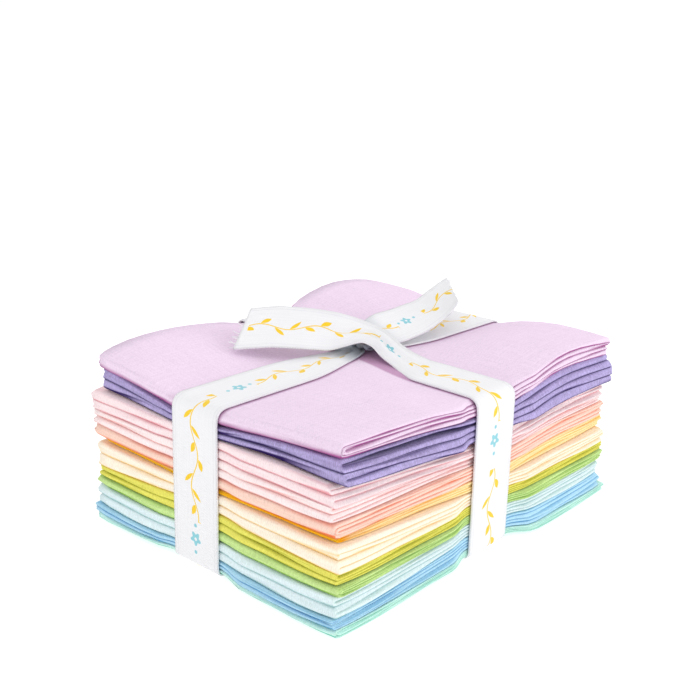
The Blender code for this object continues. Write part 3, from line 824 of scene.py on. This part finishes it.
def around_stack(half_length, top, leave, arrive, under):
    """One trip around the stack: along and up, from the knot past the low side and back."""
    off = TAPE_AIR + TAPE / 2
    face = half_length - FACE_PRESS + off
    low_corner = top(-half_length) + off
    high_corner = top(half_length) + off
    leaving = np.linspace(leave, -face + 1.4 * LIP_BEND, ROUTE_POINTS)
    route = [(place, top(place) + off) for place in leaving]
    route += bend(-face + LIP_BEND, low_corner - LIP_BEND, LIP_BEND, 90.0, 180.0)
    heights = np.linspace(low_corner - 1.3 * LIP_BEND, TAPE / 2 + 1.3 * FOOT_BEND, 12)
    route += [(-face, height) for height in heights]
    route += bend(-face + FOOT_BEND, TAPE / 2 + FOOT_BEND, FOOT_BEND, 180.0, 270.0)
    below = np.linspace(-face + 2.0 * FOOT_BEND, face - 2.0 * FOOT_BEND, 30)
    route += [(place, TAPE / 2 + under(place)) for place in below]
    route += bend(face - FOOT_BEND, TAPE / 2 + FOOT_BEND, FOOT_BEND, 270.0, 360.0)
    route += [(face, height) for height in heights[::-1] + (high_corner - low_corner) * 0.5]
    route += bend(face - LIP_BEND, high_corner - LIP_BEND, LIP_BEND, 0.0, 90.0)
    arriving = np.linspace(face - 1.4 * LIP_BEND, arrive, ROUTE_POINTS)
    route += [(place, top(place) + off) for place in arriving]
    return route


def width_near_knot(from_knot):
    """The knot gathers the tape, and further out it lies flat at its full width."""
    return TAPE_WIDTH * (GATHERED + (1.0 - GATHERED) * float(ease(abs(from_knot) / GATHER_REACH)))


print("The free parts of the tape have", len(LEFT_TAIL) + len(RIGHT_TAIL), "stations")

# %% [markdown]
# The tape leaves the knot, dives under it and comes back, so its five parts are written one after
# another and joined. Little light gets in where it dives, but a white tape between white walls of
# light hardly shows that by itself, so every station also carries a shade. Even steps and a few
# rounds of averaging then take out the corners, as the stiffness of a real tape does.

# %% The two runs and the turn under the knot
KNOT_SHADE = 0.9
SHADE_FULL = 6.0 * MM
SHADE_FADE = 7.0 * MM
TOP_ABOVE = 45.0 * MM
TOP_REACH = 40.0 * MM
TOP_PLEAT = 0.3 * MM
TURN_PLEAT = 0.4 * MM
TURN_PLACES = ((0.0, 4.0, 0.95, -0.3, 9.0), (-1.0, 1.0, 0.7, -0.7, 8.5), (-4.5, 0.0, 0.3, -0.95, 9.0))


def free_stations(table):
    """The free parts in metres: each place, the direction across, the width, pleats and shade."""
    return [(Vector((s.x, s.y, s.z)) * MM, Vector((s.ax, s.ay, s.az)), s.width * MM, s.pleat * MM, s.shade)
            for s in (Station(*row) for row in table)]


def shade_near_knot(from_knot):
    """Tape that dives under the knot is darker: little light gets in there."""
    return KNOT_SHADE * (1.0 - float(ease((abs(from_knot) - SHADE_FULL) / SHADE_FADE)))


def dress_run(route, knot, place, across, dives):
    """Stations of one run: gathered near the knot, and shaded where it dives under it."""
    stations = []
    for along, up in route:
        from_knot = along - knot
        on_top = up > TOP_ABOVE and abs(from_knot) < TOP_REACH
        width = width_near_knot(from_knot) if on_top else TAPE_WIDTH
        pleat = TOP_PLEAT * (1.0 - width / TAPE_WIDTH)
        shade = shade_near_knot(from_knot) if on_top and dives(along) else 0.0
        stations.append((Vector(place(along, up)), Vector(across), width, pleat, shade))
    return stations


def run_over_ends():
    """Around the stack along Y, from the front half of the top back to the knot."""
    def top(y):
        return top_height(TAPE_X, y)

    def under(y):
        return RISE * float(1.0 - ease((abs(y - TAPE_Y) - VALLEY) / VALLEY))

    route = around_stack(DEPTH / 2, top, TAPE_Y - 32.0 * MM, TAPE_Y + 9.0 * MM, under)
    return dress_run(route, TAPE_Y, lambda along, up: (TAPE_X, along, up), (1.0, 0.0, 0.0),
                     lambda along: along > TAPE_Y)


def run_over_folds():
    """Around the stack along X, from the left half of the top back to the knot."""
    def top(x):
        return top_height(x, TAPE_Y)

    route = around_stack(WIDTH / 2, top, TAPE_X - 9.0 * MM, TAPE_X + 12.0 * MM, lambda x: 0.0)
    return dress_run(route, TAPE_X, lambda along, up: (along, TAPE_Y, up), (0.0, -1.0, 0.0),
                     lambda along: True)


def turn_under_knot():
    """The corner where the run along Y becomes the run along X."""
    up = top_height(TAPE_X, TAPE_Y) + 1.0 * MM
    return [(Vector((TAPE_X + dx * MM, TAPE_Y + dy * MM, up)), Vector((ax, ay, 0.0)), width * MM,
             TURN_PLEAT, KNOT_SHADE) for dx, dy, ax, ay, width in TURN_PLACES]


# %% Joining the route into one length
def resample(stations, spacing, passes):
    """Even steps along the route, softened so that the tape has no corners."""
    table = np.array([(*place, *across, *rest) for place, across, *rest in stations])
    steps = np.linalg.norm(np.diff(table[:, :3], axis=0), axis=1)
    keep = np.concatenate(([True], steps > 1e-6))
    table = table[keep]
    distance = np.concatenate(([0.0], np.cumsum(np.linalg.norm(np.diff(table[:, :3], axis=0), axis=1))))
    count = int(distance[-1] / spacing) + 1
    even = np.linspace(0.0, distance[-1], count)
    table = np.stack([np.interp(even, distance, column) for column in table.T], axis=1)
    for _ in range(passes):
        middle = (table[:-2] + 2.0 * table[1:-1] + table[2:]) / 4.0
        table = np.concatenate((table[:1], middle, table[-1:]))
    return table


route = free_stations(LEFT_TAIL) + run_over_ends() + turn_under_knot()
route += run_over_folds() + free_stations(RIGHT_TAIL)
tape_table = resample(route, 1.0 * MM, 3)
tape_length = float(np.sum(np.linalg.norm(np.diff(tape_table[:, :3], axis=0), axis=1)))
print("Tape length:", round(tape_length, 3), "m in", len(tape_table), "stations")

# %% [markdown]
# A tape is a flat line swept along a path. Curve to Mesh does that, but left alone it would twist
# the line as it liked. Set Curve Normal takes the direction across the tape from the stations, the
# sweep's scale carries its width, and a wave along the surface normal makes the pleats.


# %% The tree that weaves the tape along its route
def make_tape_tree():
    tree, bench = new_geometry_tree(
        "Tape along a route",
        (("Geometry", "Geometry"), ("Points across", "Int"), ("Pleats", "Float"), ("Finish", "Material")))
    given = bench.add("NodeGroupInput", output="Geometry")

    def stored(name, kind):
        return bench.add("GeometryNodeInputNamedAttribute", {"data_type": kind}, {"Name": name})

    line = bench.add("GeometryNodeMeshToCurve", None, {"Mesh": given})
    line = bench.add("GeometryNodeSetCurveNormal", {"mode": "FREE"},
                     {"Curve": line, "Normal": stored("across", "FLOAT_VECTOR")})
    profile = bench.add("GeometryNodeCurvePrimitiveLine", None,
                        {"Start": (-0.5, 0.0, 0.0), "End": (0.5, 0.0, 0.0)})
    profile = bench.add("GeometryNodeResampleCurve", None,
                        {"Curve": profile, "Count": bench.other(given, "Points across")})
    spot = bench.add("GeometryNodeInputPosition")
    side = bench.add("ShaderNodeSeparateXYZ", None, {0: spot}, output="X")
    profile = bench.add("GeometryNodeStoreNamedAttribute", {"data_type": "FLOAT"},
                        {"Geometry": profile, "Name": "side", "Value": side})
    strip = bench.add("GeometryNodeCurveToMesh", None,
                      {"Curve": line, "Profile Curve": profile, "Scale": stored("width", "FLOAT")})
    wave = stored("side", "FLOAT") * bench.other(given, "Pleats") * TURN
    wave = wave.math("COSINE") * stored("pleat", "FLOAT")
    lift = bench.add("ShaderNodeVectorMath", {"operation": "SCALE"},
                     {0: bench.add("GeometryNodeInputNormal"), "Scale": wave})
    strip = bench.add("GeometryNodeSetPosition", None, {"Geometry": strip, "Offset": lift})
    close_tree(bench, strip, bench.other(given, "Finish"))
    return tree


TAPE_TREE = make_tape_tree()
print("Tape tree:", len(TAPE_TREE.nodes), "nodes")

# %% [markdown]
# Twill tape has fine diagonal ribs and a firm woven edge on each side. Its face is printed with a
# plain garland of yellow leaves and small aqua flowers. Leaves and petals are ovals and circles that
# a few sums on the flat map can draw, so no picture is needed and the print stays sharp up close.

# %% The tape's finish
RIB = 0.9 * MM
REPEAT = 62.0 * MM
VINE_LENGTH = 46.0 * MM
LEAF_STEP = 5.2 * MM
SOFT_EDGE = 0.16 * MM
VINE_START = 2.0 * MM
VINE_SWAY = 1.6 * MM
STEM_HALF = 0.24 * MM
LEAF_TILT = 38.0
LEAF_OUT = 1.7 * MM
BLOOM_PLACE = 54.0 * MM
DOT_OUT = 4.4 * MM
SELVAGE = 1.5 * MM
EDGE_CORD = 0.9 * MM
CORD_TWIST = 0.8 * MM
THREAD_DARK = (0.82, 0.82, 0.84, 1.0)
THREAD_LIGHT = (0.92, 0.92, 0.935, 1.0)
RIB_GREY = (0.70, 0.70, 0.74, 1.0)
SELVAGE_GREY = (0.66, 0.66, 0.70, 1.0)
PRINT_YELLOW = (0.90, 0.60, 0.02, 1.0)
PRINT_AQUA = (0.26, 0.60, 0.68, 1.0)
SHADE_GREY = (0.32, 0.37, 0.42, 1.0)


def inside(depth):
    """1 where a depth in metres is inside a shape, 0 outside, with a narrow soft edge."""
    return (depth / SOFT_EDGE + 0.5).clamped()


def leaf(along, across, tilt, length, width):
    """A pointed oval, turned by a tilt in degrees."""
    lean = math.radians(tilt)
    u = along * math.cos(lean) + across * math.sin(lean)
    v = across * math.cos(lean) - along * math.sin(lean)
    taper = 1.0 - (u / length) * (u / length)
    return inside(taper * width - v.math("ABSOLUTE"))


def flower(along, across, petals, size):
    """A round flower with shallow petals."""
    distance = (along * along + across * across).math("SQRT")
    angle = across.math("ARCTAN2", along)
    return inside(size * (0.8 + 0.2 * (angle * float(petals)).math("COSINE")) - distance)


def twill_tape():
    material, bench = new_finish("cotton_tape")
    flat = bench.add("ShaderNodeUVMap", {"uv_map": "Flat tape"})
    along, across = split(bench, flat)
    rib = ((along + across * 1.6) * (TURN / RIB)).math("SINE")
    thread = streaks(bench, along * 60.0, across * 2600.0, 2.0)
    from_edge = TAPE_WIDTH / 2 - across.math("ABSOLUTE")
    selvage = (1.0 - ((from_edge - SELVAGE) / (0.3 * MM)).math("ABSOLUTE")).clamped()
    edge_cord = ((EDGE_CORD - from_edge) / (0.5 * MM)).clamped()
    edge_cord = edge_cord * (0.7 + 0.3 * (along * (TURN / CORD_TWIST)).math("SINE"))
    place = (along / REPEAT).math("FRACT") * REPEAT
    in_vine = inside(VINE_LENGTH / 2 - (place - VINE_LENGTH / 2 - VINE_START).math("ABSOLUTE"))
    sway = (place * (TURN / (4.0 * LEAF_STEP))).math("SINE") * VINE_SWAY
    stem = inside(STEM_HALF - (across - sway).math("ABSOLUTE"))
    step = place / LEAF_STEP
    near = (step.math("FRACT") - 0.5) * LEAF_STEP
    side = step.math("FLOOR").math("MODULO", 2.0) * 2.0 - 1.0
    leaves = leaf(near, (across - sway) * side - LEAF_OUT, LEAF_TILT, 2.3 * MM, 0.85 * MM)
    vine = stem.math("MAXIMUM", leaves) * in_vine
    past = place - BLOOM_PLACE
    bloom = flower(past, across, 5, 2.5 * MM) - flower(past, across, 1, 0.7 * MM)
    dots = flower(past.math("ABSOLUTE") - DOT_OUT, across, 1, 0.8 * MM)
    base = blend(bench, thread, THREAD_DARK, THREAD_LIGHT)
    base = blend(bench, (0.5 + 0.5 * rib) * 0.4, base, RIB_GREY)
    base = blend(bench, selvage * 0.4, base, SELVAGE_GREY)
    colour = blend(bench, vine, base, PRINT_YELLOW)
    colour = blend(bench, bloom.math("MAXIMUM", dots), colour, PRINT_AQUA)
    shaded = bench.add("ShaderNodeAttribute", {"attribute_name": "shade"}, output="Fac")
    colour = blend(bench, shaded, colour, SHADE_GREY)
    relief = 0.5 * rib + 0.6 * thread + 1.2 * edge_cord - 0.8 * selvage
    woven = bench.add("ShaderNodeBump", None,
                      {"Strength": 0.6, "Distance": 0.16 * MM, "Height": relief})
    close_finish(bench, {"Base Color": colour, "Roughness": 0.8, "Sheen Weight": 0.2,
                         "Sheen Roughness": 0.4, "Specular IOR Level": 0.3, "Normal": woven})
    return material


TAPE_FINISH = twill_tape()
print("Tape finish:", len(TAPE_FINISH.node_tree.nodes), "nodes")

# %% [markdown]
# The route goes into the tree as a bare line of points. Each point carries the direction across the
# tape, its width, its pleats and its shade. What comes out is one sheet from cut to cut, which the
# Solidify modifier gives the thickness of real tape.

# %% Making the tape
def make_tape():
    mesh = bpy.data.meshes.new("tape_route")
    places = tape_table[:, :3] + np.array(FOOTPRINT_SHIFT)
    edges = [(i, i + 1) for i in range(len(places) - 1)]
    mesh.from_pydata(places.tolist(), edges, [])
    across = mesh.attributes.new("across", "FLOAT_VECTOR", "POINT")
    across.data.foreach_set("vector", tape_table[:, 3:6].astype(np.float32).ravel())
    store_mask(mesh, "width", tape_table[:, 6])
    store_mask(mesh, "pleat", tape_table[:, 7])
    store_mask(mesh, "shade", tape_table[:, 8])
    store_mask(mesh, "along", np.linspace(0.0, tape_length, len(places)))
    values = {"Points across": 17, "Pleats": 2.5, "Finish": TAPE_FINISH}
    made = apply_tree(mesh, "tied_tape", TAPE_TREE, values, TAPE)
    side = read_values(made, "side") * TAPE_WIDTH
    lay_flat_map(made, "Flat tape", read_values(made, "along"), side)
    made.shade_smooth()
    return put_in_scene("tied_tape", made)


tape = make_tape()
print("Tape:", len(tape.data.polygons), "faces")

# %% [markdown]
# A cut end of woven tape frays. The last cross threads drop out and the lengthwise threads are
# left standing as short fine hairs. Each hair is a small arc with a length and lean of its own, so
# Geometry Nodes can set them along both cuts from one seed.


# %% The loose threads at both cuts
def make_fray_tree():
    tree, bench = new_geometry_tree(
        "Loose threads",
        (("Geometry", "Geometry"), ("Threads", "Int"), ("Longest", "Float"), ("Thread radius", "Float"),
         ("Seed", "Int"), ("Finish", "Material")))
    given = bench.add("NodeGroupInput", output="Geometry")
    seed = bench.other(given, "Seed")
    cuts = bench.add("GeometryNodeMeshToCurve", None, {"Mesh": given})
    roots = bench.add("GeometryNodeCurveToPoints", {"mode": "COUNT"},
                      {"Curve": cuts, "Count": bench.other(given, "Threads")})
    arc = bench.add("GeometryNodeCurveQuadraticBezier", None,
                    {"Resolution": 5, "Start": (0.0, 0.0, -0.2), "Middle": (0.0, 0.0, 0.5),
                     "End": (0.35, 0.0, 1.0)})
    ring = bench.add("GeometryNodeCurvePrimitiveCircle", {"mode": "RADIUS"},
                     {"Resolution": 5, "Radius": bench.other(given, "Thread radius")})
    hair = bench.add("GeometryNodeCurveToMesh", None,
                     {"Curve": arc, "Fill Caps": True, "Profile Curve": ring})
    outward = bench.add("GeometryNodeInputNamedAttribute", {"data_type": "FLOAT_VECTOR"}, {"Name": "out"})
    lean = bench.add("FunctionNodeRandomValue", {"data_type": "FLOAT_VECTOR"},
                     {0: (-0.5, -0.5, -0.5), 1: (0.5, 0.5, 0.5), 8: seed})
    aim = bench.add("ShaderNodeVectorMath", {"operation": "ADD"}, {0: outward, 1: lean})
    turned = bench.add("FunctionNodeAlignRotationToVector", {"axis": "Z"}, {"Vector": aim})
    chance = bench.add("FunctionNodeRandomValue", {"data_type": "FLOAT"},
                       {2: 0.25, 3: 1.0, 8: seed + 1.0}, output=1)
    length = bench.other(given, "Longest") * chance * chance
    size = bench.add("ShaderNodeCombineXYZ", None, {0: length, 1: length, 2: length})
    fray = bench.add("GeometryNodeInstanceOnPoints", None,
                     {"Points": roots, "Instance": hair, "Rotation": turned, "Scale": size})
    close_tree(bench, fray, bench.other(given, "Finish"))
    return tree


def make_fray():
    spots = []
    outward = []
    for end, next_in in ((0, 4), (-1, -5)):
        centre = tape_table[end, :3] + np.array(FOOTPRINT_SHIFT)
        across = tape_table[end, 3:6] / np.linalg.norm(tape_table[end, 3:6])
        out = tape_table[end, :3] - tape_table[next_in, :3]
        spots += [centre + across * tape_table[end, 6] * part for part in (-0.48, 0.48)]
        outward += [out / np.linalg.norm(out)] * 2
    cuts = bpy.data.meshes.new("tape_cuts")
    cuts.from_pydata([tuple(spot) for spot in spots], [(0, 1), (2, 3)], [])
    facing = cuts.attributes.new("out", "FLOAT_VECTOR", "POINT")
    facing.data.foreach_set("vector", np.array(outward, dtype=np.float32).ravel())
    values = {"Threads": 46, "Longest": 2.6 * MM, "Thread radius": 0.05, "Seed": 7, "Finish": TAPE_FINISH}
    return put_in_scene("frayed_ends", apply_tree(cuts, "frayed_ends", make_fray_tree(), values))


fray = make_fray()
print("Loose threads:", len(fray.data.polygons), "faces")

# %% [markdown]
# The tape rides on the same body as the cloths and takes the place of the plain ribbon. Its loose
# threads are a mesh of their own but belong to it, so they share its finish and go wherever the tape goes.

# %% Tell the frame what the tape is
for piece in (tape, fray):
    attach(piece, "root")
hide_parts("ribbon")

# %% [markdown]
# The photograph looks a little down on one corner of the stack. The camera stands where its corners
# and edges fall on the same places of the picture: its place, pitch, turn and tilt were found by
# fitting them. The lens is written for a square picture of 700 points a side.

# %% Camera
PICTURE_SIDE = 700.0
FOCAL = 1080.0
PITCH = math.radians(17.1)
YAW = math.radians(-48.6)
ROLL = math.radians(1.55)
CAMERA_PLACE = Vector((-272.8, -233.8, 167.7)) * MM + FOOTPRINT_SHIFT
SENSOR = 36.0


def aim_camera():
    data = bpy.data.cameras.new("camera")
    data.sensor_width = SENSOR
    data.lens = FOCAL / PICTURE_SIDE * SENSOR
    data.clip_start = 0.01
    camera = put_in_scene("camera", data)
    back = Vector((math.sin(YAW) * math.cos(PITCH), -math.cos(YAW) * math.cos(PITCH), math.sin(PITCH)))
    level = Vector((math.cos(YAW), math.sin(YAW), 0.0))
    upright = back.cross(level)
    right = level * math.cos(ROLL) + upright * math.sin(ROLL)
    up = upright * math.cos(ROLL) - level * math.sin(ROLL)
    turn = Matrix((right, up, back)).transposed().to_4x4()
    camera.matrix_world = Matrix.Translation(CAMERA_PLACE) @ turn
    bpy.context.scene.camera = camera


aim_camera()
print("Lens:", round(FOCAL / PICTURE_SIDE * SENSOR, 1), "mm")

# %% [markdown]
# The picture is high-key: a white ground without a horizon and light from every side, with a
# little more from the upper left. A white world fills the shadows, two large soft lights give the
# folds their shape, and a wide white floor throws light back up under the edges.

# %% Floor and light
FLOOR_HALF = 30.0
WHITE = (1.0, 1.0, 1.0, 1.0)
FLOOR_GREY = (0.5, 0.5, 0.5, 1.0)
FLOOR_GLOW = 0.72
SKY_STRENGTH = 1.03


def soft_light(name, place, size, power):
    data = bpy.data.lights.new(name, "AREA")
    data.shape = "DISK"
    data.size = size
    data.energy = power
    lamp = put_in_scene(name, data)
    lamp.location = place
    lamp.rotation_euler = (-Vector(place)).to_track_quat("-Z", "Y").to_euler()


def make_floor():
    mesh = bpy.data.meshes.new("floor")
    corners = [(x * FLOOR_HALF, y * FLOOR_HALF, 0.0) for x, y in ((-1, -1), (1, -1), (1, 1), (-1, 1))]
    mesh.from_pydata(corners, [], [(0, 1, 2, 3)])
    material, bench = new_finish("white_floor")
    close_finish(bench, {"Base Color": FLOOR_GREY, "Roughness": 0.9, "Specular IOR Level": 0.0,
                         "Emission Color": WHITE, "Emission Strength": FLOOR_GLOW})
    mesh.materials.append(material)
    put_in_scene("floor", mesh)


make_floor()
soft_light("key_light", (-0.5, -0.2, 1.2), 0.8, 1.15)
soft_light("fill_light", (0.7, -1.2, 0.5), 0.8, 4.6)
world = bpy.data.worlds.new("white_studio")
world.use_nodes = True
sky = Bench(world.node_tree)
glow = sky.add("ShaderNodeBackground", None, {"Color": WHITE, "Strength": SKY_STRENGTH})
sky.add("ShaderNodeOutputWorld", None, {"Surface": glow})
bpy.context.scene.world = world
bpy.context.scene.view_settings.view_transform = "Standard"
